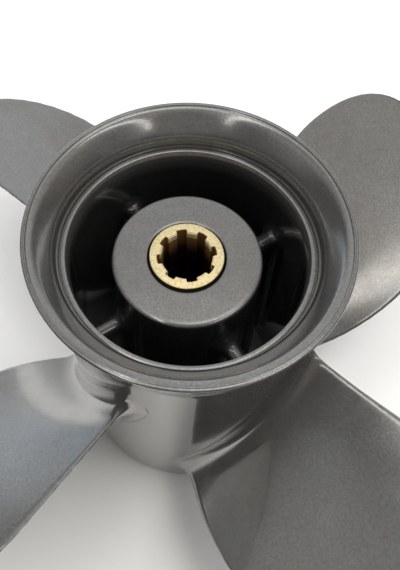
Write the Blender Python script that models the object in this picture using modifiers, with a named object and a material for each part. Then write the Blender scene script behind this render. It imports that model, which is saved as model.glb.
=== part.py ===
"""Four-blade propeller of an outboard engine, standing on its front end.

Units are metres, +Z is the propeller's axis and points aft, and the origin is on the axis
at the front end of the hub. The blades are right-handed. The casting is divided at its
natural junctions: outer hub, diffuser ring, inner hub, webs and blades. A rubber bush and
a splined brass sleeve sit in the inner hub.
"""

from math import cos, hypot, pi, radians, sin, sqrt, tan, tau

import bmesh
import bpy
from mathutils import Matrix, Vector

MM = 0.001
GAP = 0.3 * MM

# Hub
HUB_LENGTH = 96.5 * MM
FRONT_RADIUS = 35.2 * MM
BASE_RADIUS = 37.6 * MM
BORE_FRONT = 31.0 * MM
BORE_AFT = 32.6 * MM
FRONT_EDGE = 1.2 * MM
FLARE_START = 75.0 * MM

# Diffuser ring, measured from the rim plane at the aft end
RIM_RADIUS = 44.0 * MM
RIM_EDGE = 0.6 * MM
RIM_LAND = 42.95 * MM
FLARE_POWER = 1.6
FLARE_STEPS = 5
LIP_INNER = 33.6 * MM
LIP_OUTER = 34.25 * MM
LIP_DEPTH = 10.9 * MM
LIP_EDGE = 0.2 * MM
MOUTH_DEPTH = 13.8 * MM

# Cove of the diffuser ring: slopes are measured from the rim plane
COVE_START = 35.05 * MM
COVE_END = 42.7 * MM
COVE_DEPTH = 11.25 * MM
COVE_FOOT_SLOPE = radians(83.0)
COVE_SLOPE = radians(52.5)
COVE_TOP_SLOPE = radians(6.0)
COVE_FOOT_POWER = 7
COVE_TURN = 0.65
COVE_STEPS = 100
COVE_KEPT = (0, 2, 6, 12, 22, 40, 65, 78, 88, 100)

# Inner hub
INNER_RADIUS = 20.9 * MM
INNER_FRONT_RADIUS = 22.0 * MM
INNER_AFT_DEPTH = 16.0 * MM
INNER_FRONT = 5.0 * MM
INNER_EDGE = 1.2 * MM
COLLAR_BORE = 11.3 * MM
COLLAR_LENGTH = 9.0 * MM
BUSH_BORE = 16.2 * MM

# Rubber bush and splined sleeve
BUSH_CLEARANCE = 1.0 * MM
SLEEVE_RADIUS = 10.4 * MM
SLEEVE_PROUD = 0.7 * MM
SLEEVE_FRONT = 3.5 * MM
SLEEVE_EDGE = 0.4 * MM
SPLINE_TEETH = 8
SPLINE_MINOR = 7.2 * MM
SPLINE_MAJOR = 8.4 * MM
SPLINE_GROOVE = 2.7 * MM
SPLINE_TURN = radians(8.0)

# Webs between the inner and the outer hub
WEB_COUNT = 4
WEB_TURN = radians(30.0)
WEB_THICKNESS = 5.2 * MM
WEB_AFT_DEPTH = 30.0 * MM
WEB_FRONT = 8.0 * MM

# Blades: right-handed helicoids with a straight rake
BLADE_COUNT = 4
BLADE_TURN = radians(30.0)
TIP_RADIUS = 117.2 * MM
PITCH = 263.6 * MM
RAKE = 0.096
BLADE_HEIGHT = 36.5 * MM
RAKE_FROM = 36.0 * MM
WIDEST_RADIUS = 80.0 * MM
HALF_ARC = 29.4 * MM
ROOT_NARROWING = 22.6 * MM
ROOT_POWER = 1.5
TIP_POWER = 2.0
SKEW = radians(10.9)
SKEW_FROM = 44.0 * MM
SKEW_POWER = 1.5
ROOT_THICKNESS = 7.0 * MM
TIP_THICKNESS = 2.6 * MM
EDGE_THICKNESS = 1.2 * MM
CHORD_FULLNESS = 2.4
SPAN_THINNING = 0.7
ROOT_FILLET = 6.0 * MM
ROOT_FOLLOW = 2.5
FILLET_STATIONS = 5
BLADE_STATIONS = 12
CHORD_STEPS = 10

RING_STEPS = 96
BORE_STEPS = 48
CUTTER_REACH = 10.0 * MM

PAINT = (0.235, 0.235, 0.232)


def clear_scene():
    """Removes what the startup file holds."""
    for thing in list(bpy.data.objects):
        bpy.data.objects.remove(thing)


def make_collection(name):
    """A new collection in the scene."""
    collection = bpy.data.collections.new(name)
    bpy.context.scene.collection.children.link(collection)
    return collection


def make_material(name, colour, roughness, metallic):
    """A Principled material of one colour."""
    material = bpy.data.materials.new(name)
    material.use_nodes = True
    shader = material.node_tree.nodes["Principled BSDF"]
    shader.inputs["Base Color"].default_value = (*colour, 1.0)
    shader.inputs["Roughness"].default_value = roughness
    shader.inputs["Metallic"].default_value = metallic
    return material


def add_object(name, mesh, collection, material=None):
    """An object for a mesh, in a collection, with its own material."""
    thing = bpy.data.objects.new(name, mesh)
    collection.objects.link(thing)
    if material:
        mesh.materials.append(material)
    return thing


def shade_round(thing, angle=radians(35.0)):
    """Smooth shading that keeps the real edges sharp."""
    thing.data.shade_smooth()
    thing.data.set_sharp_from_angle(angle=angle)


def arc(centre_x, centre_z, radius, start, end, steps):
    """Profile points along an arc, with angles in degrees from +X towards +Z."""
    turn = [radians(start + (end - start) * i / steps) for i in range(steps + 1)]
    return [(centre_x + radius * cos(a), centre_z + radius * sin(a)) for a in turn]


def turned(name, profile, collection, material=None, steps=RING_STEPS):
    """A ring or a disc from a closed profile of (x, z) points that runs down its outer side."""
    mesh = bpy.data.meshes.new(name)
    count = len(profile)
    edges = [(i, (i + 1) % count) for i in range(count)]
    mesh.from_pydata([(x, 0.0, z) for x, z in profile], edges, [])
    thing = add_object(name, mesh, collection, material)
    screw = thing.modifiers.new("Turn", "SCREW")
    screw.steps = steps
    screw.render_steps = steps
    screw.use_merge_vertices = True
    screw.merge_threshold = 0.00001
    screw.use_smooth_shade = True
    return thing


def cut(thing, cutter, operation="DIFFERENCE"):
    """A Boolean modifier that cuts with, or keeps what is inside, another object."""
    boolean = thing.modifiers.new("Cut", "BOOLEAN")
    boolean.operation = operation
    boolean.solver = "EXACT"
    boolean.object = cutter
    cutter.hide_render = True
    cutter.display_type = "WIRE"


def hub_radius(z):
    """Outer radius of the hub's barrel at a height, before the flare."""
    return FRONT_RADIUS + (BASE_RADIUS - FRONT_RADIUS) * z / FLARE_START


def flare_radius(z):
    """Outer radius at a height, flare included."""
    if z <= FLARE_START:
        return hub_radius(z)
    rise = (z - FLARE_START) / (HUB_LENGTH - RIM_EDGE - FLARE_START)
    return hub_radius(z) + (RIM_RADIUS - hub_radius(z)) * rise**FLARE_POWER


def inner_radius(z):
    """Outer radius of the inner hub, which widens towards the front."""
    return INNER_FRONT_RADIUS + (INNER_RADIUS - INNER_FRONT_RADIUS) * z / HUB_LENGTH


def mouth_foot():
    """Height of the joint between the outer hub and the diffuser ring."""
    return HUB_LENGTH - MOUTH_DEPTH


def outer_hub(collection, material):
    """The barrel that carries the blades, open at both ends for the exhaust."""
    top = mouth_foot() - GAP
    edge = FRONT_EDGE
    heights = [top, (top + FLARE_START) / 2, FLARE_START]
    profile = [(flare_radius(z), z) for z in heights]
    profile += arc(FRONT_RADIUS - edge, edge, edge, 0, -90, 3)
    profile.append((BORE_FRONT + 0.5 * edge, 0.0))
    profile.append((BORE_FRONT, 0.5 * edge))
    profile.append((BORE_AFT, top))
    return turned("outer_hub", profile, collection, material)


def cove_slope(along):
    """Slope of the cove: steep at the lip, then straight, then nearly level at the rim."""
    foot = (COVE_FOOT_SLOPE - COVE_SLOPE) * (1.0 - along)**COVE_FOOT_POWER
    turn = max(0.0, along - COVE_TURN) / (1.0 - COVE_TURN)
    return COVE_SLOPE + foot - (COVE_SLOPE - COVE_TOP_SLOPE) * turn * turn * (3.0 - 2.0 * turn)


def cove_points():
    """Points up the cove, from the groove outside the lip to the rim."""
    width = (COVE_END - COVE_START) / COVE_STEPS
    height = HUB_LENGTH - COVE_DEPTH
    points = [(COVE_START, height)]
    for i in range(COVE_STEPS):
        height += width * tan(cove_slope((i + 0.5) / COVE_STEPS))
        points.append((COVE_START + width * (i + 1), height))
    return [points[i] for i in COVE_KEPT]


def diffuser_ring(collection, material):
    """The flared ring at the aft end: a cove inside, and a lip round the mouth."""
    foot = mouth_foot()
    rim = HUB_LENGTH
    lip = rim - LIP_DEPTH
    edge = LIP_EDGE
    heights = [foot + (rim - RIM_EDGE - foot) * i / FLARE_STEPS for i in range(FLARE_STEPS + 1)]
    profile = [(flare_radius(z), z) for z in reversed(heights)]
    profile += [(BORE_AFT, foot), (LIP_INNER, lip - edge), (LIP_INNER + edge, lip)]
    profile += [(LIP_OUTER - edge, lip), (LIP_OUTER, lip - edge)]
    profile.append((LIP_OUTER + edge, rim - COVE_DEPTH))
    profile += cove_points()
    profile.append((RIM_LAND, rim))
    profile += arc(RIM_RADIUS - RIM_EDGE, rim - RIM_EDGE, RIM_EDGE, 90, 30, 2)
    return turned("diffuser_ring", profile, collection, material)


def inner_hub(collection, material):
    """The tube that holds the bush, with a collar at its aft end that stops the bush."""
    top = HUB_LENGTH - INNER_AFT_DEPTH
    shoulder = top - COLLAR_LENGTH
    foot = INNER_FRONT
    edge = INNER_EDGE
    profile = arc(inner_radius(top) - edge, top - edge, edge, 90, 0, 4)
    profile += arc(inner_radius(foot) - edge, foot + edge, edge, 0, -90, 2)
    profile.append((BUSH_BORE, foot))
    profile.append((BUSH_BORE, shoulder))
    profile.append((COLLAR_BORE, shoulder))
    profile.append((COLLAR_BORE, top))
    return turned("inner_hub", profile, collection, material)


def rubber_bush(collection, material):
    """The rubber drive bush between the inner hub and the brass sleeve."""
    top = HUB_LENGTH - INNER_AFT_DEPTH - COLLAR_LENGTH - GAP
    foot = INNER_FRONT + BUSH_CLEARANCE
    outer = BUSH_BORE - GAP
    inner = SLEEVE_RADIUS + GAP
    profile = [(outer, top), (outer, foot), (inner, foot), (inner, top)]
    return turned("rubber_bush", profile, collection, material, BORE_STEPS)


def spline_cutter(collection):
    """Eight radial bars that cut the spline's grooves."""
    bars = bmesh.new()
    inside = SPLINE_MINOR - 1.0 * MM
    middle = (inside + SPLINE_MAJOR) / 2
    size = (SPLINE_MAJOR - inside, SPLINE_GROOVE, HUB_LENGTH + CUTTER_REACH)
    for i in range(SPLINE_TEETH):
        turn = Matrix.Rotation(SPLINE_TURN + tau * i / SPLINE_TEETH, 4, "Z")
        place = Matrix.Translation((middle, 0.0, HUB_LENGTH / 2))
        scale = Matrix.Diagonal((*size, 1.0))
        bmesh.ops.create_cube(bars, size=1.0, matrix=turn @ place @ scale)
    mesh = bpy.data.meshes.new("spline_bars")
    bars.to_mesh(mesh)
    bars.free()
    return add_object("spline_bars", mesh, collection)


def splined_sleeve(collection, cutters, material):
    """The brass sleeve with eight square grooves that slide over the engine's shaft."""
    top = HUB_LENGTH - INNER_AFT_DEPTH + SLEEVE_PROUD
    edge = SLEEVE_EDGE
    profile = [(SLEEVE_RADIUS - edge, top), (SLEEVE_RADIUS, top - edge)]
    profile += [(SLEEVE_RADIUS, SLEEVE_FRONT + edge), (SLEEVE_RADIUS - edge, SLEEVE_FRONT)]
    profile += [(SPLINE_MINOR, SLEEVE_FRONT), (SPLINE_MINOR, top)]
    thing = turned("splined_sleeve", profile, collection, material, BORE_STEPS)
    cut(thing, spline_cutter(cutters))
    return thing


def web_space(collection):
    """The ring-shaped space between the two hubs, which trims the webs to fit."""
    front = BORE_FRONT - GAP
    top = HUB_LENGTH
    slope = (BORE_AFT - BORE_FRONT) / mouth_foot()
    profile = [(front + slope * top, top), (front, 0.0)]
    profile += [(inner_radius(0.0) + GAP, 0.0), (inner_radius(top) + GAP, top)]
    return turned("web_space", profile, collection)


def web(name, turn, space, collection, material):
    """A radial plate with a rounded aft edge, from the inner hub to the outer hub."""
    top = HUB_LENGTH - WEB_AFT_DEPTH
    half = WEB_THICKNESS / 2
    outline = arc(0.0, top - half, half, 0, 180, 6)
    outline += [(-half, WEB_FRONT), (half, WEB_FRONT)]
    start = INNER_RADIUS - 1.0 * MM
    end = BASE_RADIUS
    plate = bmesh.new()
    ring = [plate.verts.new((start, x, z)) for x, z in outline]
    face = plate.faces.new(ring)
    grown = bmesh.ops.extrude_face_region(plate, geom=[face])
    moved = [v for v in grown["geom"] if isinstance(v, bmesh.types.BMVert)]
    bmesh.ops.translate(plate, verts=moved, vec=(end - start, 0.0, 0.0))
    bmesh.ops.recalc_face_normals(plate, faces=plate.faces)
    mesh = bpy.data.meshes.new(name)
    plate.to_mesh(mesh)
    plate.free()
    thing = add_object(name, mesh, collection, material)
    thing.rotation_euler.z = turn
    cut(thing, space, "INTERSECT")
    return thing


def half_arc(radius):
    """Half the blade's width at a radius, measured along the arc."""
    if radius < WIDEST_RADIUS:
        inward = (WIDEST_RADIUS - radius) / WIDEST_RADIUS
        return HALF_ARC - ROOT_NARROWING * inward**ROOT_POWER
    outward = (radius - WIDEST_RADIUS) / (TIP_RADIUS - WIDEST_RADIUS)
    return HALF_ARC * sqrt(max(0.0, 1.0 - outward**TIP_POWER))


def middle_angle(radius):
    """Angle of the blade's middle line at a radius: the skew."""
    outward = max(0.0, radius - SKEW_FROM) / (TIP_RADIUS - SKEW_FROM)
    return SKEW * outward**SKEW_POWER


def face_height(radius, angle):
    """Height of the blade's aft face."""
    return BLADE_HEIGHT + PITCH * angle / tau + RAKE * (radius - RAKE_FROM)


def face_normal(radius, angle):
    """Unit normal of the aft face, pointing aft."""
    outward = Vector((cos(angle), sin(angle), RAKE))
    around = Vector((-sin(angle), cos(angle), PITCH / tau / radius))
    return outward.cross(around).normalized()


def fillet_growth(height):
    """How far a round fillet stands out at a height above the hub."""
    if height >= ROOT_FILLET:
        return 0.0
    rest = 1.0 - max(0.0, height) / ROOT_FILLET
    return ROOT_FILLET * (1.0 - sqrt(1.0 - rest * rest))


def station_heights():
    """Heights of the blade's sections above the hub, close together at the root and tip."""
    length = TIP_RADIUS - BASE_RADIUS - ROOT_FILLET
    heights = [-2.0 * MM]
    for i in range(FILLET_STATIONS):
        heights.append(ROOT_FILLET * (i / FILLET_STATIONS) ** 1.6)
    for i in range(BLADE_STATIONS + 1):
        along = sin(pi / 2 * i / BLADE_STATIONS)
        heights.append(ROOT_FILLET + (length - 0.02 * MM) * along)
    return heights


def section(height):
    """One closed section of the blade, along the aft face and back along the front face."""
    nominal = BASE_RADIUS + height
    growth = fillet_growth(height)
    follow = max(0.0, 1.0 - height / (ROOT_FOLLOW * ROOT_FILLET))
    slant = hypot(1.0, PITCH / tau / nominal)
    reach = half_arc(nominal) + growth / slant
    outward = max(0.0, height) / (TIP_RADIUS - BASE_RADIUS)
    thickest = ROOT_THICKNESS + (TIP_THICKNESS - ROOT_THICKNESS) * outward**SPAN_THINNING
    aft, front = [], []
    for i in range(CHORD_STEPS + 1):
        chord = -cos(pi * i / CHORD_STEPS)
        angle = middle_angle(nominal) + chord * reach / nominal
        low = face_height(nominal, angle)
        radius = nominal + follow * (hub_radius(low) - BASE_RADIUS)
        normal = face_normal(radius, angle)
        point = Vector((radius * cos(angle), radius * sin(angle), face_height(radius, angle)))
        bulge = 1.0 - abs(chord) ** CHORD_FULLNESS
        thickness = EDGE_THICKNESS + (thickest - EDGE_THICKNESS) * bulge
        aft.append(point + normal * growth * bulge**0.5)
        front.append(point - normal * (thickness + growth * bulge**0.5))
    return aft + front[::-1]


def blade(name, turn, barrel, collection, material):
    """A blade lofted through its sections and trimmed to the hub."""
    loft = bmesh.new()
    rings = [[loft.verts.new(p) for p in section(h)] for h in station_heights()]
    for inner, outer in zip(rings, rings[1:]):
        for i in range(len(inner)):
            j = (i + 1) % len(inner)
            loft.faces.new((inner[i], inner[j], outer[j], outer[i]))
    loft.faces.new(rings[0][::-1])
    loft.faces.new(rings[-1])
    bmesh.ops.recalc_face_normals(loft, faces=loft.faces)
    mesh = bpy.data.meshes.new(name)
    loft.to_mesh(mesh)
    loft.free()
    thing = add_object(name, mesh, collection, material)
    thing.rotation_euler.z = turn
    cut(thing, barrel)
    return thing


def blade_trimmer(collection):
    """The hub's barrel grown by the gap, as one solid."""
    top = FLARE_START
    low = -CUTTER_REACH
    profile = [(0.0, top), (hub_radius(top) + GAP, top), (hub_radius(low) + GAP, low), (0.0, low)]
    return turned("barrel_trim", profile, collection)


def build():
    """Makes the whole propeller."""
    clear_scene()
    parts = make_collection("outboard_propeller")
    cutters = make_collection("cutters")
    paint = ("painted_casting", PAINT, 0.28, 0.35)
    shade_round(outer_hub(parts, make_material("outer_hub_paint", *paint[1:])))
    shade_round(diffuser_ring(parts, make_material("diffuser_paint", *paint[1:])))
    shade_round(inner_hub(parts, make_material("inner_hub_paint", *paint[1:])))
    rubber = make_material("bush_rubber", (0.012, 0.012, 0.012), 0.75, 0.0)
    shade_round(rubber_bush(parts, rubber))
    brass = make_material("sleeve_brass", (0.72, 0.56, 0.27), 0.32, 1.0)
    shade_round(splined_sleeve(parts, cutters, brass))
    space = web_space(cutters)
    for i in range(WEB_COUNT):
        name = f"web_{i + 1}"
        finish = make_material(f"{name}_paint", *paint[1:])
        shade_round(web(name, WEB_TURN + tau * i / WEB_COUNT, space, parts, finish))
    barrel = blade_trimmer(cutters)
    for i in range(BLADE_COUNT):
        name = f"blade_{i + 1}"
        finish = make_material(f"{name}_paint", *paint[1:])
        shade_round(blade(name, BLADE_TURN + tau * i / BLADE_COUNT, barrel, parts, finish))


build()
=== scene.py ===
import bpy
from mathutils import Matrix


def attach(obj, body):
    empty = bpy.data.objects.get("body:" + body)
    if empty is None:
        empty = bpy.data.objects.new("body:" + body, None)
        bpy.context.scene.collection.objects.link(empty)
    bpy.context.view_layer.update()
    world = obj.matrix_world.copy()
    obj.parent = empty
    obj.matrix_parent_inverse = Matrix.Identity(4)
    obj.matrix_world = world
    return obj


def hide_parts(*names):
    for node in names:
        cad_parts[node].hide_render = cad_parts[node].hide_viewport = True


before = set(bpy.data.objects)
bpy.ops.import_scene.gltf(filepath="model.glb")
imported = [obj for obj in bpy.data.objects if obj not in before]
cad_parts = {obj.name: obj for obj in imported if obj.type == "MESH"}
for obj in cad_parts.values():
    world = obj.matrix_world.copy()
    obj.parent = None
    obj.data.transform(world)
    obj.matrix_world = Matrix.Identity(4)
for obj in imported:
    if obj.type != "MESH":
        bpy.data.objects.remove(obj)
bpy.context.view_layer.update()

from math import cos, hypot, pi, radians, sin, sqrt, tau

import bmesh
import bpy
import numpy as np
from mathutils import Matrix, Vector

# The propeller's lengths are in millimetres in the CAD's frame, and add_mesh scales them once.
# The floor, the lamps and the camera are in metres.
MM = 0.001

# Hub
HUB_LENGTH = 96.5
FRONT_RADIUS = 35.2
BASE_RADIUS = 37.6
FLARE_START = 75.0
FLARE_POWER = 1.6
FRONT_EDGE = 1.2
BORE_FRONT = 31.0
BORE_AFT = 32.6
BORE_EDGE = 0.6
BORE_STRAIGHT_FROM = 6.0

# Diffuser ring: depths are measured from the rim plane
RIM_RADIUS = 44.0
RIM_ROUND = 0.6
RIM_LAND = 42.95
BEAD_ROUND = 0.3
BEAD_INSET = 0.02
LAND_ROUND = 0.5
LAND_INSET = 0.12
LAND_DROP = 0.1
MOUTH_DEPTH = 13.8
MOUTH_STRAIGHT_BELOW = 0.25
MOUTH_CORNER_OUT = 0.12
MOUTH_CORNER_UP = 0.2
MOUTH_PARTS = (0.2, 0.5, 0.8)
LIP_DEPTH = 10.9
LIP_INNER = 33.42
LIP_MIDDLE = 34.08
LIP_OUTER = 34.74
LIP_FOOT_IN = 0.01
LIP_FOOT_DROP = 0.35
LIP_CROWN = 2.4
LIP_CROWN_ANGLE = 12.0
LIP_EDGE = 0.2
# How far out from the lip, and how far below its top
LIP_GROOVE = ((0.03, 0.4), (0.13, 0.62), (0.25, 0.58))
COVE_TOP_DEPTH = 0.4
# Radius, and slope in degrees, from the lip's groove to the rim
COVE_SLOPES = (
    (35.05, 82.4), (35.45, 76.6), (35.9, 70.0), (36.4, 61.5), (37.0, 53.4),
    (37.5, 51.2), (38.2, 50.2), (39.2, 48.9), (40.0, 47.4), (40.5, 44.5),
    (41.0, 36.5), (41.5, 25.0), (42.0, 13.0), (42.4, 7.0), (42.7, 6.0),
)
COVE_STEPS = 240
COVE_SMOOTHING = 9
COVE_FOOT_STEPS = 24
COVE_FOOT_KEEP = 3
COVE_KEEP = 6

# Inner hub
INNER_RADIUS = 20.9
INNER_FRONT_RADIUS = 22.0
INNER_AFT_DEPTH = 16.0
INNER_AFT = HUB_LENGTH - INNER_AFT_DEPTH
INNER_FRONT = 5.0
INNER_EDGE = 1.0
INNER_EDGE_DROP = 0.02
INNER_FACE_INSET = 0.6
COLLAR_BORE = 11.0
COLLAR_LENGTH = 9.0
COLLAR_EDGE = 0.3
COLLAR_BEVEL = 0.45
COLLAR_BEVEL_DROP = 0.08

# Rubber bush: the tables give how far from the sleeve or the collar, and how far below the face
BUSH_BORE = 16.2
BUSH_GAP = 0.3
BUSH_FRONT_GAP = 1.0
SLEEVE_GAP = 0.02
COLLAR_GAP = 0.06
BUSH_BY_SLEEVE = ((0.0, 0.3), (0.12, 0.35), (0.25, 0.9))
BUSH_BY_COLLAR = ((-0.1, 1.2), (0.0, 1.4))

# Sleeve
SLEEVE_RADIUS = 10.4
SLEEVE_PROUD = 0.85
SLEEVE_AFT = INNER_AFT + SLEEVE_PROUD
SLEEVE_FRONT = 3.5
SLEEVE_FRONT_BEVEL = (0.3, 0.4)
# How far in from the sleeve's radius, and how far below its aft face
SLEEVE_AFT_EDGE = ((0.28, 0.0), (0.1, 0.05), (0.02, 0.14), (0.0, 0.3), (0.0, 0.5))
SLEEVE_SHARP = radians(38)
SPLINE_TEETH = 8
SPLINE_MINOR = 7.2
SPLINE_MAJOR = 8.4
SPLINE_GROOVE = 2.9
SPLINE_CORNER = 0.3
SPLINE_TURN = radians(8.0)
SPLINE_LAND_STEPS = 14
# The bore's lead at the aft face is wider than the bore by this much, and ends this far below
LEAD_MINOR = 0.32
LEAD_MAJOR = 0.06
LEAD_GROOVE = 0.12
LEAD_DROP = 0.06
LEAD_EDGE = 0.05
FACE_INSET = 0.25
SPLINE_FRONT_ROWS = (0.0, 0.3)
SPLINE_AFT_ROWS = (2.6, 0.55, 0.45)

# Webs
WEB_TURN = radians(30.0)
WEB_THICKNESS = 5.2
WEB_AFT_DEPTH = 30.0
WEB_FRONT = 8.0
WEB_FILLET = 3.6
WEB_WALL_FILLET = 2.6
WEB_OVERLAP = 0.03
WEB_MIDDLE_PARTS = (0.33, 0.67)

# Blades
BLADE_TURN = radians(30.0)
TIP_RADIUS = 117.2
PITCH = 263.6
RAKE = 0.096
BLADE_HEIGHT = 36.5
RAKE_FROM = 36.0
WIDEST_RADIUS = 80.0
HALF_ARC = 29.4
ROOT_NARROWING = 22.6
ROOT_POWER = 1.5
TIP_POWER = 2.0
SKEW = radians(10.9)
SKEW_FROM = 44.0
SKEW_POWER = 1.5
ROOT_THICKNESS = 7.0
TIP_THICKNESS = 2.6
EDGE_THICKNESS = 1.2
EDGE_ROLL = 1.9
CHORD_FULLNESS = 2.4
SPAN_THINNING = 0.7
ROOT_FILLET = 6.0
ROOT_FOLLOW = 2.5
# Height above the barrel, and growth as a share of the fillet, of the rows inside the barrel
BURIED_STATIONS = ((-0.4, 1.02), (-0.02, 1.0))
OUTLINE_MARGIN = 8.0

# Points and steps of the meshes
ROUND_STEPS = 256
HUB_STEPS = 320
BUSH_STEPS = 192
FLARE_POINTS = 28
WALL_POINTS = 12
BORE_POINTS = 14
WEB_AFT_POINTS = 25
WEB_FRONT_POINTS = 13
WEB_SIDE_POINTS = 14
WEB_FILLET_POINTS = 12
CHORD_STEPS = 56
SPAN_STEPS = 72
FILLET_STEPS = 12
OUTLINE_STEPS = 220
FLOOR_STEPS = 96

# Finishes
NOISE_RANGE = (0.3, 0.7)
PAINT_TONES = (
    (0.3, (0.272, 0.262, 0.250)), (0.5, (0.286, 0.283, 0.276)), (0.7, (0.293, 0.300, 0.298)),
)
BRASS_TONES = ((0.3, (0.8, 0.6, 0.27)), (0.5, (1.0, 0.84, 0.46)), (0.7, (1.0, 0.96, 0.66)))
# Painted shade down the sleeve's bore, from near black to dark brown
BORE_SHADE_TONES = ((0.0, (0.02, 0.009, 0.004)), (1.0, (0.3, 0.17, 0.06)))
RUBBER_TONES = ((0.3, (0.003, 0.003, 0.003)), (0.7, (0.008, 0.008, 0.008)))
FLOOR_TONES = ((0.3, (0.94, 0.94, 0.94)), (0.7, (0.96, 0.96, 0.96)))
# The paint is darker in the exhaust passage, which is painted shade: depth below the rim and radius
# of the change
PASSAGE_TONE = 0.36
PASSAGE_DEPTHS = (14.5, 19.0)
PASSAGE_RADII = (34.4, 33.4)
# The brass changes at these depths below the sleeve's aft face and at these radii: its own colour
# shows on a band at the top of the lands and grooves, painted shade darkens it below, and darkens
# it further down the bore
LAND_DEPTHS = (2.7, 2.1)
GROOVE_DEPTHS = (0.5, 0.02)
GROOVE_RADII = (7.45, 7.7)
BORE_SHADE_DEPTHS = (11.0, 2.5)
SLEEVE_INSIDE_RADII = (10.2, 9.4)
FACE_DEPTHS = (0.12, 0.01)

# Floor: pale as far as the view reaches, then darkened towards its edge by painted shade
FLOOR_CENTRE = (0.03, 0.06)
FLOOR_PALE_RADIUS = 0.185
FLOOR_RADIUS = 0.26
FLOOR_EDGE_TONE = 0.42

# Soft patches of the surround:
# (azimuth, elevation), inner and outer half angle in degrees, colour, strength
GLOWS = (
    ((0, 90), 179, 180, (0.078, 0.074, 0.069), 1.0),
    ((90, 22), 8, 52, (0.95, 0.98, 1.0), 0.6),
    ((129, -5), 9, 24, (0.82, 0.96, 1.12), 0.44),
    ((6, 54), 8, 46, (1.0, 0.98, 0.95), 0.42),
    ((-172, 34), 6, 22, (1.0, 0.98, 0.96), 0.16),
    ((176, 62), 10, 48, (0.98, 0.99, 1.0), 0.26),
    ((88, 78), 5, 19, (1.0, 0.97, 0.93), 0.62),
    ((86, 60), 5, 15, (1.0, 0.94, 0.87), 0.14),
    ((66, 72), 3, 9, (1.0, 1.0, 1.0), 0.8),
    ((112, -18), 5, 16, (1.0, 1.0, 1.0), 0.25),
    ((-90, 42), 15, 42, (1.0, 0.95, 0.9), 0.17),
    ((-48, 52), 6, 26, (1.0, 0.96, 0.92), 0.12),
    ((-45, 22), 6, 24, (1.0, 0.98, 0.96), 0.08),
    ((-142, 24), 6, 20, (1.0, 0.98, 0.96), 0.04),
)
# Lamps from above that gloss doesn't show: name, place, colour
SOFTBOXES = (
    ("key", (0.9, 0.1, 1.6), (1.0, 0.98, 0.96)),
    ("fill", (-0.8, 0.8, 1.6), (1.0, 1.0, 1.0)),
)
SOFTBOX_AIM = (0, 0, 0.05)
SOFTBOX_SIZE = 1.2
SOFTBOX_POWER = 19.0
# Strip lamps that gloss shows: name, start, end, width, radiance, colour
STRIPS = (
    ("strip_right", (0.614, -1.38, 0.94), (0.456, 0.044, 0.94), 0.21, 1.95, (1.0, 0.955, 0.885)),
    ("strip_left", (-1.26, -2.20, 1.69), (-0.23, 0.38, 1.69), 0.28, 2.2, (1.0, 0.98, 0.95)),
)
STRIP_AIM = (0.0, 0.0, 0.08)
# Where a strip starts to fade, as shares of its half length and half width
STRIP_FADE_ALONG = 0.92
STRIP_FADE_ACROSS = 0.3

# Camera, as fitted to the photograph; sizes in its picture are in pixels
PICTURE_WIDTH = 400
PICTURE_HEIGHT = 570
FOCAL_LENGTH = 718.83
PICTURE_CENTRE = (137.41, 129.21)
SENSOR = 36.0
CLIP_START = 0.01
VIEW_PLACE = (-0.006234, -0.103876, HUB_LENGTH * MM + 0.159293)
VIEW_RIGHT = (0.999082, 0.0, -0.042830)
VIEW_DOWN = (-0.027957, -0.757568, -0.652157)
VIEW_FORWARD = (-0.032446, 0.652756, -0.756873)


def add_mesh(name, points, faces):
    """A smooth-shaded mesh object from points in millimetres."""
    mesh = bpy.data.meshes.new(name)
    mesh.from_pydata((np.asarray(points, float) * MM).tolist(), [], faces)
    mesh.validate()
    mesh.shade_smooth()
    return add_object(name, mesh)


def add_object(name, data):
    """An object with this data, in the scene."""
    thing = bpy.data.objects.new(name, data)
    bpy.context.scene.collection.objects.link(thing)
    return thing


def face_outward(thing, close=False):
    """Turns a skin the right way out, and first closes its open ends where that is asked."""
    shell = bmesh.new()
    shell.from_mesh(thing.data)
    if close:
        rim = [edge for edge in shell.edges if edge.is_boundary]
        bmesh.ops.holes_fill(shell, edges=rim, sides=0)
    bmesh.ops.recalc_face_normals(shell, faces=shell.faces)
    shell.to_mesh(thing.data)
    shell.free()
    if close:
        thing.data.shade_smooth()


def grid_faces(rows, columns, wrap_rows):
    """Quads over a grid of points numbered row by row; each row is a closed ring."""
    faces = []
    for i in range(rows if wrap_rows else rows - 1):
        k = (i + 1) % rows
        for j in range(columns):
            m = (j + 1) % columns
            faces.append((i * columns + j, i * columns + m, k * columns + m, k * columns + j))
    return faces


def arc(centre_r, centre_z, radius, start, end, steps):
    """Profile points along an arc, with angles in degrees from the radial direction towards +Z."""
    turn = np.radians(np.linspace(start, end, steps + 1))
    return [(centre_r + radius * cos(a), centre_z + radius * sin(a)) for a in turn]


def supported(profile, closeness=0.12, longest=1.5):
    """Adds points near the ends of the long straight runs of a closed profile."""
    points = []
    for i, (r0, z0) in enumerate(profile):
        r1, z1 = profile[(i + 1) % len(profile)]
        points.append((r0, z0))
        length = hypot(r1 - r0, z1 - z0)
        if length > longest:
            for part in (closeness / length, 0.5, 1.0 - closeness / length):
                points.append((r0 + (r1 - r0) * part, z0 + (z1 - z0) * part))
    return points


def turned(name, profile, steps=ROUND_STEPS):
    """A closed profile of (radius, height) points turned about the axis."""
    rows = supported(profile)
    turn = np.linspace(0.0, tau, steps, endpoint=False)
    points = [(r * cos(a), r * sin(a), z) for r, z in rows for a in turn]
    thing = add_mesh(name, points, grid_faces(len(rows), steps, True))
    face_outward(thing)
    return thing


def spin(points, turn):
    """Points turned about the axis."""
    c, s = cos(turn), sin(turn)
    x, y, z = points.T
    return np.column_stack((x * c - y * s, x * s + y * c, z))


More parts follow.
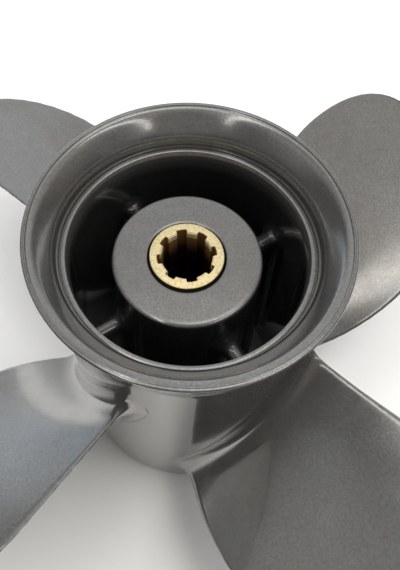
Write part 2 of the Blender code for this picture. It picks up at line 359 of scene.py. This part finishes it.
def offset_loop(loop, distance):
    """A closed 2-D loop moved outward along its own normals."""
    tangent = np.roll(loop, -1, axis=0) - np.roll(loop, 1, axis=0)
    tangent /= np.linalg.norm(tangent, axis=1)[:, None]
    normal = np.column_stack((tangent[:, 1], -tangent[:, 0]))
    return loop + normal * distance


def hub_radius(z):
    """Outer radius of the barrel at a height."""
    return FRONT_RADIUS + (BASE_RADIUS - FRONT_RADIUS) * z / FLARE_START


def flare_radius(z):
    """Outer radius of the flare at a height."""
    rise = (z - FLARE_START) / (HUB_LENGTH - RIM_ROUND - FLARE_START)
    return hub_radius(z) + (RIM_RADIUS - hub_radius(z)) * rise**FLARE_POWER


def bore_radius(z):
    """Radius of the exhaust passage's outer wall at a height."""
    return BORE_FRONT + (BORE_AFT - BORE_FRONT) * z / (HUB_LENGTH - MOUTH_DEPTH)


def inner_radius(z):
    """Outer radius of the inner hub at a height."""
    return INNER_FRONT_RADIUS + (INNER_RADIUS - INNER_FRONT_RADIUS) * z / HUB_LENGTH


def cove_profile():
    """Points up the cove from the lip's groove to the rim, along the table of slopes."""
    places, slopes = zip(*COVE_SLOPES)
    radius = np.linspace(places[0], places[-1], COVE_STEPS + 1)
    slope = np.interp(radius, places, slopes)
    reach = COVE_SMOOTHING // 2
    padded = np.concatenate((np.full(reach, slope[0]), slope, np.full(reach, slope[-1])))
    smooth = np.convolve(padded, np.full(COVE_SMOOTHING, 1 / COVE_SMOOTHING), "valid")
    climb = np.tan(np.radians(smooth))
    height = np.concatenate(([0.0], np.cumsum((climb[1:] + climb[:-1]) / 2 * np.diff(radius))))
    height += HUB_LENGTH - COVE_TOP_DEPTH - height[-1]
    points = list(zip(radius, height))
    return points[:COVE_FOOT_STEPS:COVE_FOOT_KEEP] + points[COVE_FOOT_STEPS:-COVE_KEEP:COVE_KEEP]


def lip_crest(lip):
    """The lip's crowned top between two small edge rounds."""
    start = LIP_MIDDLE - (LIP_CROWN - LIP_EDGE) * sin(radians(LIP_CROWN_ANGLE))
    end = 2 * LIP_MIDDLE - start
    level = lip - LIP_CROWN + (LIP_CROWN - LIP_EDGE) * cos(radians(LIP_CROWN_ANGLE))
    crest = arc(start, level, LIP_EDGE, 165, 96 + LIP_CROWN_ANGLE, 4)
    crest += arc(LIP_MIDDLE, lip - LIP_CROWN, LIP_CROWN,
                 90 + LIP_CROWN_ANGLE, 90 - LIP_CROWN_ANGLE, 8)
    return crest + arc(end, level, LIP_EDGE, 84 - LIP_CROWN_ANGLE, 10, 4)


def hub_casting():
    """The barrel, the flared ring, its lip and the exhaust bore in one turned skin."""
    rim = HUB_LENGTH
    lip = rim - LIP_DEPTH
    mouth = rim - MOUTH_DEPTH
    profile = [(flare_radius(z), z)
               for z in np.linspace(rim - RIM_ROUND, FLARE_START, FLARE_POINTS)]
    profile += [(hub_radius(z), z)
                for z in np.linspace(FLARE_START, FRONT_EDGE, WALL_POINTS)[1:-1]]
    profile += arc(FRONT_RADIUS - FRONT_EDGE, FRONT_EDGE, FRONT_EDGE, 0, -90, 8)
    profile += arc(BORE_FRONT + BORE_EDGE, BORE_EDGE, BORE_EDGE, -90, -180, 5)
    straight = np.linspace(BORE_STRAIGHT_FROM, mouth - MOUTH_STRAIGHT_BELOW, BORE_POINTS)
    profile += [(bore_radius(z), z) for z in straight]
    profile.append((BORE_AFT + MOUTH_CORNER_OUT, mouth + MOUTH_CORNER_UP))
    profile += [(BORE_AFT + (LIP_INNER - BORE_AFT) * t, mouth + (MOUTH_DEPTH - LIP_DEPTH) * t)
                for t in MOUTH_PARTS]
    profile.append((LIP_INNER - LIP_FOOT_IN, lip - LIP_FOOT_DROP))
    profile += lip_crest(lip)
    profile += [(LIP_OUTER + out, lip - drop) for out, drop in LIP_GROOVE]
    profile += cove_profile()
    profile += arc(RIM_LAND - BEAD_INSET, rim - BEAD_ROUND, BEAD_ROUND, 160, 42, 8)
    profile.append((RIM_RADIUS - LAND_ROUND - LAND_INSET, rim - LAND_DROP))
    profile += arc(RIM_RADIUS - LAND_ROUND, rim - RIM_ROUND, LAND_ROUND, 90, 12, 8)
    return turned("hub_casting", profile, HUB_STEPS)


def inner_tube():
    """The inner hub with a flat aft face, a round outer edge and the collar that stops the bush."""
    top = INNER_AFT
    shoulder = top - COLLAR_LENGTH
    edge = INNER_EDGE
    profile = [(inner_radius(top) - edge - INNER_FACE_INSET, top)]
    profile += arc(inner_radius(top) - edge, top - edge - INNER_EDGE_DROP, edge, 86, 0, 10)
    profile += [(inner_radius(z), z)
                for z in np.linspace(top - edge, INNER_FRONT + edge, WALL_POINTS)[1:-1]]
    profile += arc(inner_radius(INNER_FRONT) - edge, INNER_FRONT + edge, edge, 0, -90, 6)
    profile += [(BUSH_BORE, INNER_FRONT), (BUSH_BORE, shoulder), (COLLAR_BORE, shoulder)]
    profile += arc(COLLAR_BORE + COLLAR_EDGE, top - COLLAR_EDGE - COLLAR_BEVEL_DROP,
                   COLLAR_EDGE, 180, 100, 6)
    profile.append((COLLAR_BORE + COLLAR_EDGE + COLLAR_BEVEL, top))
    return turned("inner_tube", profile)


def rubber_ring():
    """The drive bush, with the thin collar of rubber that shows round the sleeve."""
    shoulder = INNER_AFT - COLLAR_LENGTH - BUSH_GAP
    front = INNER_FRONT + BUSH_FRONT_GAP
    outer = BUSH_BORE - BUSH_GAP
    inner = SLEEVE_RADIUS + SLEEVE_GAP
    neck = COLLAR_BORE - COLLAR_GAP
    profile = [(outer, shoulder), (outer, front), (inner, front)]
    profile += [(inner + out, INNER_AFT - drop) for out, drop in BUSH_BY_SLEEVE]
    profile += [(neck + out, INNER_AFT - drop) for out, drop in BUSH_BY_COLLAR]
    profile.append((neck, shoulder))
    return turned("rubber_ring", profile, BUSH_STEPS)


def spline_outline(minor, major, groove):
    """The sleeve's bore seen from the end: eight grooves with round corners between broad lands."""
    half = groove / 2
    corner = SPLINE_CORNER
    side_low = sqrt(minor**2 - half**2)
    flat = sqrt(major**2 - half**2)
    rounds = [(flat - corner + corner * sin(a), half - corner * (1 - cos(a)))
              for a in np.radians((90, 60, 30))]
    local = [(side_low, -half), (flat - corner, -half)]
    local += [(x, -y) for x, y in reversed(rounds)]
    local.append((major, 0.0))
    local += rounds
    local += [(flat - corner, half), (side_low, half)]
    gap = np.arcsin(half / minor)
    points = []
    for k in range(SPLINE_TEETH):
        middle = SPLINE_TURN + tau * k / SPLINE_TEETH
        for x, y in local:
            points.append((x * cos(middle) - y * sin(middle), x * sin(middle) + y * cos(middle)))
        start, end = middle + gap, middle + tau / SPLINE_TEETH - gap
        for a in np.linspace(start, end, SPLINE_LAND_STEPS)[1:-1]:
            points.append((minor * cos(a), minor * sin(a)))
    return np.array(points)


def brass_sleeve():
    """The splined sleeve: a turned outside round the eight-groove bore, in one closed skin."""
    top = SLEEVE_AFT
    bore = spline_outline(SPLINE_MINOR, SPLINE_MAJOR, SPLINE_GROOVE)
    lead = spline_outline(SPLINE_MINOR + LEAD_MINOR, SPLINE_MAJOR + LEAD_MAJOR,
                          SPLINE_GROOVE + LEAD_GROOVE)
    outward = lead / np.linalg.norm(lead, axis=1)[:, None]
    angle = np.arctan2(bore[:, 1], bore[:, 0])
    bevel, rise = SLEEVE_FRONT_BEVEL
    circles = [(SLEEVE_RADIUS - inward, top - drop) for inward, drop in SLEEVE_AFT_EDGE]
    circles += [(SLEEVE_RADIUS, SLEEVE_FRONT + rise), (SLEEVE_RADIUS - bevel, SLEEVE_FRONT)]
    rings = [(np.column_stack((r * np.cos(angle), r * np.sin(angle))), z) for r, z in circles]
    rings += [(bore, SLEEVE_FRONT + up) for up in SPLINE_FRONT_ROWS]
    rings += [(bore, top - drop) for drop in SPLINE_AFT_ROWS]
    rings += [(lead, top - LEAD_DROP), (lead + LEAD_EDGE * outward, top),
              (lead + FACE_INSET * outward, top)]
    points = np.concatenate([np.column_stack((ring, np.full(len(ring), z))) for ring, z in rings])
    thing = add_mesh("brass_sleeve", points, grid_faces(len(rings), len(angle), True))
    face_outward(thing)
    thing.data.set_sharp_from_angle(angle=SLEEVE_SHARP)
    return thing


def web_loop():
    """Section of a web: (sideways, height), counter-clockwise, round at both ends."""
    half = WEB_THICKNESS / 2
    top = HUB_LENGTH - WEB_AFT_DEPTH - half
    foot = WEB_FRONT + half
    over = np.radians(np.linspace(0, 180, WEB_AFT_POINTS))
    under = np.radians(np.linspace(180, 360, WEB_FRONT_POINTS))
    sides = np.linspace(0, 1, WEB_SIDE_POINTS)[1:-1]
    loop = [(half * cos(a), top + half * sin(a)) for a in over]
    loop += [(-half, top + (foot - top) * t) for t in sides]
    loop += [(half * cos(a), foot + half * sin(a)) for a in under]
    loop += [(half, foot + (top - foot) * t) for t in sides]
    return np.array(loop)


def web(number):
    """A web between the inner hub and the bore, with a fillet at both ends."""
    loop = web_loop()
    bend = np.linspace(0, pi / 2, WEB_FILLET_POINTS)
    # Where a row is measured from, how far along, and how far the fillet has grown
    rows = [("inner", -WEB_OVERLAP, WEB_FILLET)]
    rows += [("inner", WEB_FILLET * (1 - sin(a)), WEB_FILLET * (1 - cos(a))) for a in bend[::-1]]
    rows += [("middle", t, 0.0) for t in WEB_MIDDLE_PARTS]
    rows += [("outer", WEB_WALL_FILLET * (1 - sin(a)), WEB_WALL_FILLET * (1 - cos(a)))
             for a in bend]
    rows.append(("outer", -WEB_OVERLAP, WEB_WALL_FILLET))
    points = []
    for where, along, growth in rows:
        side, z = offset_loop(loop, growth).T
        low = inner_radius(z)
        high = bore_radius(z)
        if where == "inner":
            reach = low + along
        elif where == "outer":
            reach = high - along
        else:
            reach = low + WEB_FILLET + (high - low - WEB_FILLET - WEB_WALL_FILLET) * along
        out = np.sqrt(np.maximum(reach**2 - side**2, 0.0))
        points.append(np.column_stack((out, side, z)))
    points = spin(np.concatenate(points), WEB_TURN + tau * (number - 1) / 4)
    thing = add_mesh(f"cast_web_{number}", points, grid_faces(len(rows), len(loop), False))
    face_outward(thing, close=True)
    return thing


def half_arc(radius):
    """Half the blade's width at a radius, along the arc."""
    if radius < WIDEST_RADIUS:
        inward = (WIDEST_RADIUS - radius) / WIDEST_RADIUS
        return HALF_ARC - ROOT_NARROWING * inward**ROOT_POWER
    outward = (radius - WIDEST_RADIUS) / (TIP_RADIUS - WIDEST_RADIUS)
    return HALF_ARC * sqrt(max(0.0, 1.0 - outward**TIP_POWER))


def middle_angle(radius):
    """Angle of the blade's middle line at a radius."""
    outward = max(0.0, radius - SKEW_FROM) / (TIP_RADIUS - SKEW_FROM)
    return SKEW * outward**SKEW_POWER


def chord_slant(radius):
    """Length along the twisted chord for each unit along the arc."""
    return hypot(1.0, PITCH / tau / radius)


def outline_points():
    """The blade's edge in the developed plane: along the twisted chord, and radius."""
    inside = BASE_RADIUS - OUTLINE_MARGIN
    spread = TIP_RADIUS - BASE_RADIUS + OUTLINE_MARGIN
    radii = inside + spread * np.sin(np.linspace(0, pi / 2, OUTLINE_STEPS))
    return np.array([(chord_slant(r) * (r * middle_angle(r) + side * half_arc(r)), r)
                     for side in (-1, 1) for r in radii])


def blade_stations():
    """(height above the barrel, how far the fillet has grown) from the root to the tip."""
    stations = [(height, ROOT_FILLET * share) for height, share in BURIED_STATIONS]
    for a in np.linspace(pi / 2, 0, FILLET_STEPS + 1)[:-1]:
        stations.append((ROOT_FILLET * (1 - sin(a)), ROOT_FILLET * (1 - cos(a))))
    length = TIP_RADIUS - BASE_RADIUS - ROOT_FILLET
    for t in np.linspace(0, 1, SPAN_STEPS + 1)[:-1]:
        stations.append((ROOT_FILLET + length * sin(pi / 2 * t), 0.0))
    return stations


def blade_section(height, growth, chord, edge_line):
    """One closed row of a blade's points, on a cylinder at this height above the barrel."""
    nominal = BASE_RADIUS + height
    outward = max(0.0, height) / (TIP_RADIUS - BASE_RADIUS)
    thickest = ROOT_THICKNESS + (TIP_THICKNESS - ROOT_THICKNESS) * outward**SPAN_THINNING
    along = chord_slant(nominal) * (nominal * middle_angle(nominal) + chord * half_arc(nominal))
    # The thickness rolls off in half an ellipse near the blade's edge
    far = np.hypot(along[:, None] - edge_line[None, :, 0], nominal - edge_line[None, :, 1])
    full = EDGE_THICKNESS + (thickest - EDGE_THICKNESS) * (1.0 - np.abs(chord) ** CHORD_FULLNESS)
    half = full / 2
    close = np.clip(1.0 - np.min(far, axis=1) / (EDGE_ROLL * half), 0.0, 1.0)
    swell = half * np.sqrt(1.0 - close**2)
    swell[0] = swell[-1] = 0.0
    # (along the chord, along the face's normal) in the plane that touches the cylinder
    aft = np.column_stack((along, -half + swell))
    front = np.column_stack((along, -half - swell))
    loop = np.concatenate((front, aft[-2:0:-1]))
    if growth:
        loop = offset_loop(loop, growth)
    lean = np.arctan2(PITCH / tau / nominal, 1.0)
    arc_length = loop[:, 0] * cos(lean) - loop[:, 1] * sin(lean)
    rise = loop[:, 0] * sin(lean) + loop[:, 1] * cos(lean)
    z = BLADE_HEIGHT + rise + RAKE * (nominal - RAKE_FROM)
    # Near the root the row follows the barrel's taper
    follow = max(0.0, 1.0 - height / (ROOT_FOLLOW * ROOT_FILLET))
    radius = nominal + follow * (hub_radius(z) - BASE_RADIUS)
    angle = arc_length / nominal
    return np.column_stack((radius * np.cos(angle), radius * np.sin(angle), z))


def blade(number):
    """A blade of two faces that meet in a round edge, with a fillet that runs into the barrel."""
    edge_line = outline_points()
    chord = -np.cos(np.linspace(0, pi, CHORD_STEPS + 1))
    rows = [blade_section(height, growth, chord, edge_line)
            for height, growth in blade_stations()]
    tip_height = BLADE_HEIGHT + PITCH * SKEW / tau + RAKE * (TIP_RADIUS - RAKE_FROM)
    tip = (TIP_RADIUS * cos(SKEW), TIP_RADIUS * sin(SKEW), tip_height - TIP_THICKNESS / 2)
    points = spin(np.concatenate(rows + [np.array([tip])]), BLADE_TURN + tau * (number - 1) / 4)
    count = len(rows[0])
    last = (len(rows) - 1) * count
    faces = grid_faces(len(rows), count, False)
    faces += [(last + j, last + (j + 1) % count, len(points) - 1) for j in range(count)]
    thing = add_mesh(f"cast_blade_{number}", points, faces)
    face_outward(thing, close=True)
    return thing


class Tree:
    """The shader nodes of a material, a lamp or the surround, and short ways to add to them."""

    def __init__(self, owner):
        owner.use_nodes = True
        self.nodes = owner.node_tree.nodes
        self.links = owner.node_tree.links

    def fill(self, node, inputs):
        """Puts a value or a link on each named input of a node."""
        for name, value in inputs.items():
            if isinstance(value, bpy.types.NodeSocket):
                self.links.new(value, node.inputs[name])
            else:
                node.inputs[name].default_value = value

    def add(self, kind, inputs, **settings):
        """A new node with its settings and inputs."""
        node = self.nodes.new("ShaderNode" + kind)
        for name, value in settings.items():
            setattr(node, name, value)
        self.fill(node, inputs)
        return node

    def place(self, space="Object"):
        """The place of a point of the surface, or for Generated the direction of the surround."""
        return self.add("TexCoord", {}).outputs[space]

    def noise(self, scale, detail=4.0, roughness=0.55):
        """A 3-D noise in object space."""
        inputs = {"Vector": self.place(), "Scale": scale, "Detail": detail, "Roughness": roughness}
        return self.add("TexNoise", inputs).outputs["Fac"]

    def ramp(self, value, stops):
        """A colour ramp over a value."""
        node = self.add("ValToRGB", {"Fac": value})
        elements = node.color_ramp.elements
        while len(elements) < len(stops):
            elements.new(0.5)
        for element, (position, colour) in zip(elements, stops):
            element.position = position
            element.color = (*colour, 1.0)
        return node.outputs["Color"]

    def mapped(self, value, start, end, low=0.0, high=1.0, kind="LINEAR"):
        """Maps a value from one range to another."""
        inputs = {"Value": value, "From Min": start, "From Max": end, "To Min": low, "To Max": high}
        return self.add("MapRange", inputs, interpolation_type=kind).outputs["Result"]

    def spread(self, value, low, high):
        """Maps noise from its usual range to another."""
        return self.mapped(value, *NOISE_RANGE, low, high)

    def smooth(self, value, start, end, low=0.0, high=1.0):
        """One value before start, another after end and smooth between."""
        return self.mapped(value, start, end, low, high, "SMOOTHSTEP")

    def height_and_reach(self):
        """Height, and distance from the axis."""
        place = self.place()
        height = self.add("SeparateXYZ", {"Vector": place}).outputs["Z"]
        flat = self.add("VectorMath", {0: place, 1: (1.0, 1.0, 0.0)}, operation="MULTIPLY")
        reach = self.add("VectorMath", {0: flat.outputs["Vector"]}, operation="LENGTH")
        return height, reach.outputs["Value"]

    def product(self, one, other):
        """The product of two values."""
        return self.add("Math", {0: one, 1: other}, operation="MULTIPLY").outputs["Value"]

    def scaled(self, vector, scale):
        """A colour or vector times a value."""
        node = self.add("VectorMath", {0: vector, "Scale": scale}, operation="SCALE")
        return node.outputs["Vector"]

    def bump(self, height, strength, distance):
        """A surface normal with fine relief."""
        inputs = {"Height": height, "Strength": strength, "Distance": distance}
        return self.add("Bump", inputs).outputs["Normal"]


def finish(name):
    """A new material with its nodes, and its Principled shader."""
    material = bpy.data.materials.new(name)
    tree = Tree(material)
    return material, tree, tree.nodes["Principled BSDF"]


def paint():
    """Glossy dark grey paint with metal flake, slightly mottled, with a fine orange peel, and
    painted shade that darkens it down the exhaust passage.
    """
    material, tree, shader = finish("cast_paint")
    flake = tree.spread(tree.noise(scale=1500.0, detail=2.0, roughness=0.8), 0.81, 1.19)
    mottle = tree.spread(tree.noise(scale=190.0, detail=3.0), 0.96, 1.04)
    height, reach = tree.height_and_reach()
    # Painted shade: the base colour darkens down the exhaust passage, below these depths and inside
    # these radii
    deep = tree.smooth(height, *((HUB_LENGTH - depth) * MM for depth in PASSAGE_DEPTHS))
    within = tree.smooth(reach, *(radius * MM for radius in PASSAGE_RADII))
    passage_shade = tree.mapped(tree.product(deep, within), 0.0, 1.0, low=1.0, high=PASSAGE_TONE)
    strength = tree.product(tree.product(flake, mottle), passage_shade)
    tone = tree.ramp(tree.noise(scale=45.0, detail=5.0), PAINT_TONES)
    tree.fill(shader, {
        "Base Color": tree.scaled(tone, strength),
        "Metallic": 0.82,
        "Roughness": tree.spread(tree.noise(scale=160.0, detail=3.0), 0.13, 0.2),
        "Coat Weight": 1.0,
        "Coat Roughness": 0.03,
        "Normal": tree.bump(tree.noise(scale=700.0, detail=2.0), strength=0.018, distance=0.0002),
    })
    return material


def brass():
    """Machined brass, a little dull, with painted shade that turns it dark brown and then near
    black down the bore.
    """
    material, tree, shader = finish("sleeve_brass_fine")
    height, reach = tree.height_and_reach()

    def below_face(depths):
        """Heights in metres at these depths below the sleeve's aft face."""
        return [(SLEEVE_AFT - depth) * MM for depth in depths]

    def at_radii(radii):
        """Radii in metres."""
        return [radius * MM for radius in radii]

    # Painted shade: the brass colour stays on a band at the top of the lands and grooves, and is
    # darkened below it
    shade = tree.add("Mix", {
        "Factor": tree.smooth(reach, *at_radii(GROOVE_RADII)),
        "A": tree.smooth(height, *below_face(LAND_DEPTHS)),
        "B": tree.smooth(height, *below_face(GROOVE_DEPTHS)),
    })
    # Painted shade: dark brown near the top of the bore, near black further down
    depth = tree.smooth(height, *below_face(BORE_SHADE_DEPTHS))
    inside = tree.smooth(reach, *at_radii(SLEEVE_INSIDE_RADII))
    colour = tree.add("Mix", {
        "Factor": shade.outputs["Result"],
        "A": tree.ramp(tree.product(depth, inside), BORE_SHADE_TONES),
        "B": tree.ramp(tree.noise(scale=1300.0, detail=3.0, roughness=0.7), BRASS_TONES),
    }, data_type="RGBA")
    tree.fill(shader, {
        "Base Color": colour.outputs["Result"],
        "Metallic": tree.mapped(height, *below_face(FACE_DEPTHS), low=0.4, high=0.8),
        "Roughness": tree.spread(tree.noise(scale=900.0, detail=2.0), 0.34, 0.5),
        "Normal": tree.bump(tree.noise(scale=1500.0, detail=2.0), strength=0.15, distance=0.0001),
    })
    return material


def rubber():
    """Matt black rubber."""
    material, tree, shader = finish("bush_rubber_fine")
    tone = tree.noise(scale=500.0)
    tree.fill(shader, {
        "Base Color": tree.ramp(tone, RUBBER_TONES),
        "Roughness": tree.spread(tone, 0.6, 0.8),
    })
    return material


def floor_finish():
    """A pale matt floor with a faint unevenness, darkened towards its edge by painted shade."""
    material, tree, shader = finish("floor_pale")
    reach = tree.height_and_reach()[1]
    # Painted shade: the floor's colour darkens beyond the view towards its edge
    fade = tree.smooth(reach, FLOOR_PALE_RADIUS, FLOOR_RADIUS, 1.0, FLOOR_EDGE_TONE)
    tree.fill(shader, {
        "Base Color": tree.scaled(tree.ramp(tree.noise(scale=4.0), FLOOR_TONES), fade),
        "Roughness": 0.9,
    })
    return material


def dress(piece, material, slot, *nodes):
    """Gives a piece its finish and its body, and hides the CAD nodes that it stands for."""
    piece.data.materials.clear()
    piece.data.materials.append(material)
    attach(piece, "root")
    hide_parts(*nodes)


def build_piece_set():
    """Makes every visible piece."""
    grey = paint()
    dress(hub_casting(), grey, "casting", "outer_hub", "diffuser_ring")
    dress(inner_tube(), grey, "casting", "inner_hub")
    for number in range(1, 5):
        dress(web(number), grey, "casting", f"web_{number}")
        dress(blade(number), grey, "casting", f"blade_{number}")
    dress(rubber_ring(), rubber(), "rubber", "rubber_bush")
    dress(brass_sleeve(), brass(), "brass", "splined_sleeve")


def build_floor():
    """A round pale floor under the propeller, a little wider than the view needs."""
    turn = [tau * step / FLOOR_STEPS for step in range(FLOOR_STEPS)]
    rim = [(FLOOR_RADIUS * cos(a), FLOOR_RADIUS * sin(a), 0.0) for a in turn]
    mesh = bpy.data.meshes.new("floor")
    mesh.from_pydata(rim, [], [tuple(range(FLOOR_STEPS))])
    mesh.materials.append(floor_finish())
    floor = add_object("floor", mesh)
    floor.location = (*FLOOR_CENTRE, 0.0)


def area_lamp(name, width, height, power, colour):
    """The data of a rectangular lamp."""
    lamp = bpy.data.lights.new(name, "AREA")
    lamp.shape = "RECTANGLE"
    lamp.size = width
    lamp.size_y = height
    lamp.energy = power
    lamp.color = colour
    return lamp


def softbox(name, place, colour):
    """A square lamp that faces the propeller, and that gloss doesn't show."""
    lamp = area_lamp(name, SOFTBOX_SIZE, SOFTBOX_SIZE, SOFTBOX_POWER, colour)
    thing = add_object(name, lamp)
    thing.location = place
    away = Vector(place) - Vector(SOFTBOX_AIM)
    thing.rotation_euler = away.to_track_quat("Z", "Y").to_euler()
    thing.visible_glossy = False


def strip(name, start, end, width, radiance, colour):
    """A soft-edged lamp along the line between two points, facing the propeller."""
    start, end = Vector(start), Vector(end)
    along = end - start
    middle = (start + end) / 2
    lamp = area_lamp(name, along.length, width, radiance * pi * along.length * width, colour)
    tree = Tree(lamp)
    spot = tree.add("NewGeometry", {}).outputs["Parametric"]
    centred = tree.add("VectorMath", {0: spot, 1: (2.0, 2.0, 0.0), 2: (-1.0, -1.0, 0.0)},
                       operation="MULTIPLY_ADD").outputs["Vector"]
    size = tree.add("VectorMath", {0: centred}, operation="ABSOLUTE").outputs["Vector"]
    ends = tree.add("SeparateXYZ", {"Vector": size})
    lengthways = tree.smooth(ends.outputs["X"], 1.0, STRIP_FADE_ALONG)
    crossways = tree.smooth(ends.outputs["Y"], 1.0, STRIP_FADE_ACROSS)
    tree.fill(tree.nodes["Emission"], {"Strength": tree.product(lengthways, crossways)})
    facing = (middle - Vector(STRIP_AIM)).normalized()
    side = facing.cross(along).normalized()
    turn = Matrix((along.normalized(), side, along.normalized().cross(side))).transposed()
    add_object(name, lamp).matrix_world = Matrix.Translation(middle) @ turn.to_4x4()


def build_surround():
    """The sum of the soft patches, each round and in one direction."""
    world = bpy.data.worlds.new("surround")
    tree = Tree(world)
    total = None
    for toward, inner, outer, colour, strength in GLOWS:
        azimuth, elevation = np.radians(toward)
        direction = (cos(azimuth) * cos(elevation), sin(azimuth) * cos(elevation), sin(elevation))
        match = tree.add("VectorMath", {0: tree.place("Generated"), 1: direction},
                         operation="DOT_PRODUCT").outputs["Value"]
        fade = tree.smooth(match, cos(radians(outer)), cos(radians(inner)), 0.0, strength)
        tint = tree.scaled(colour, fade)
        if total is None:
            total = tint
        else:
            total = tree.add("VectorMath", {0: total, 1: tint}).outputs["Vector"]
    tree.fill(tree.nodes["Background"], {"Color": total})
    bpy.context.scene.world = world


def build_light():
    """Soft studio light."""
    build_surround()
    for row in SOFTBOXES:
        softbox(*row)
    for row in STRIPS:
        strip(*row)


def build_camera():
    """The photograph's view."""
    longer = max(PICTURE_WIDTH, PICTURE_HEIGHT)
    lens = bpy.data.cameras.new("photo_view")
    lens.sensor_width = SENSOR
    lens.sensor_fit = "AUTO"
    lens.lens = FOCAL_LENGTH / longer * SENSOR
    lens.shift_x = -(PICTURE_CENTRE[0] - PICTURE_WIDTH / 2) / longer
    lens.shift_y = (PICTURE_CENTRE[1] - PICTURE_HEIGHT / 2) / longer
    lens.clip_start = CLIP_START
    view = add_object("photo_view", lens)
    right, down, forward = Vector(VIEW_RIGHT), Vector(VIEW_DOWN), Vector(VIEW_FORWARD)
    axes = Matrix((right, -down, -forward)).transposed()
    view.matrix_world = Matrix.Translation(VIEW_PLACE) @ axes.to_4x4()
    bpy.context.scene.camera = view


build_piece_set()
build_floor()
build_light()
build_camera()
bpy.context.scene.view_settings.view_transform = "Standard"

bpy.context.view_layer.update()
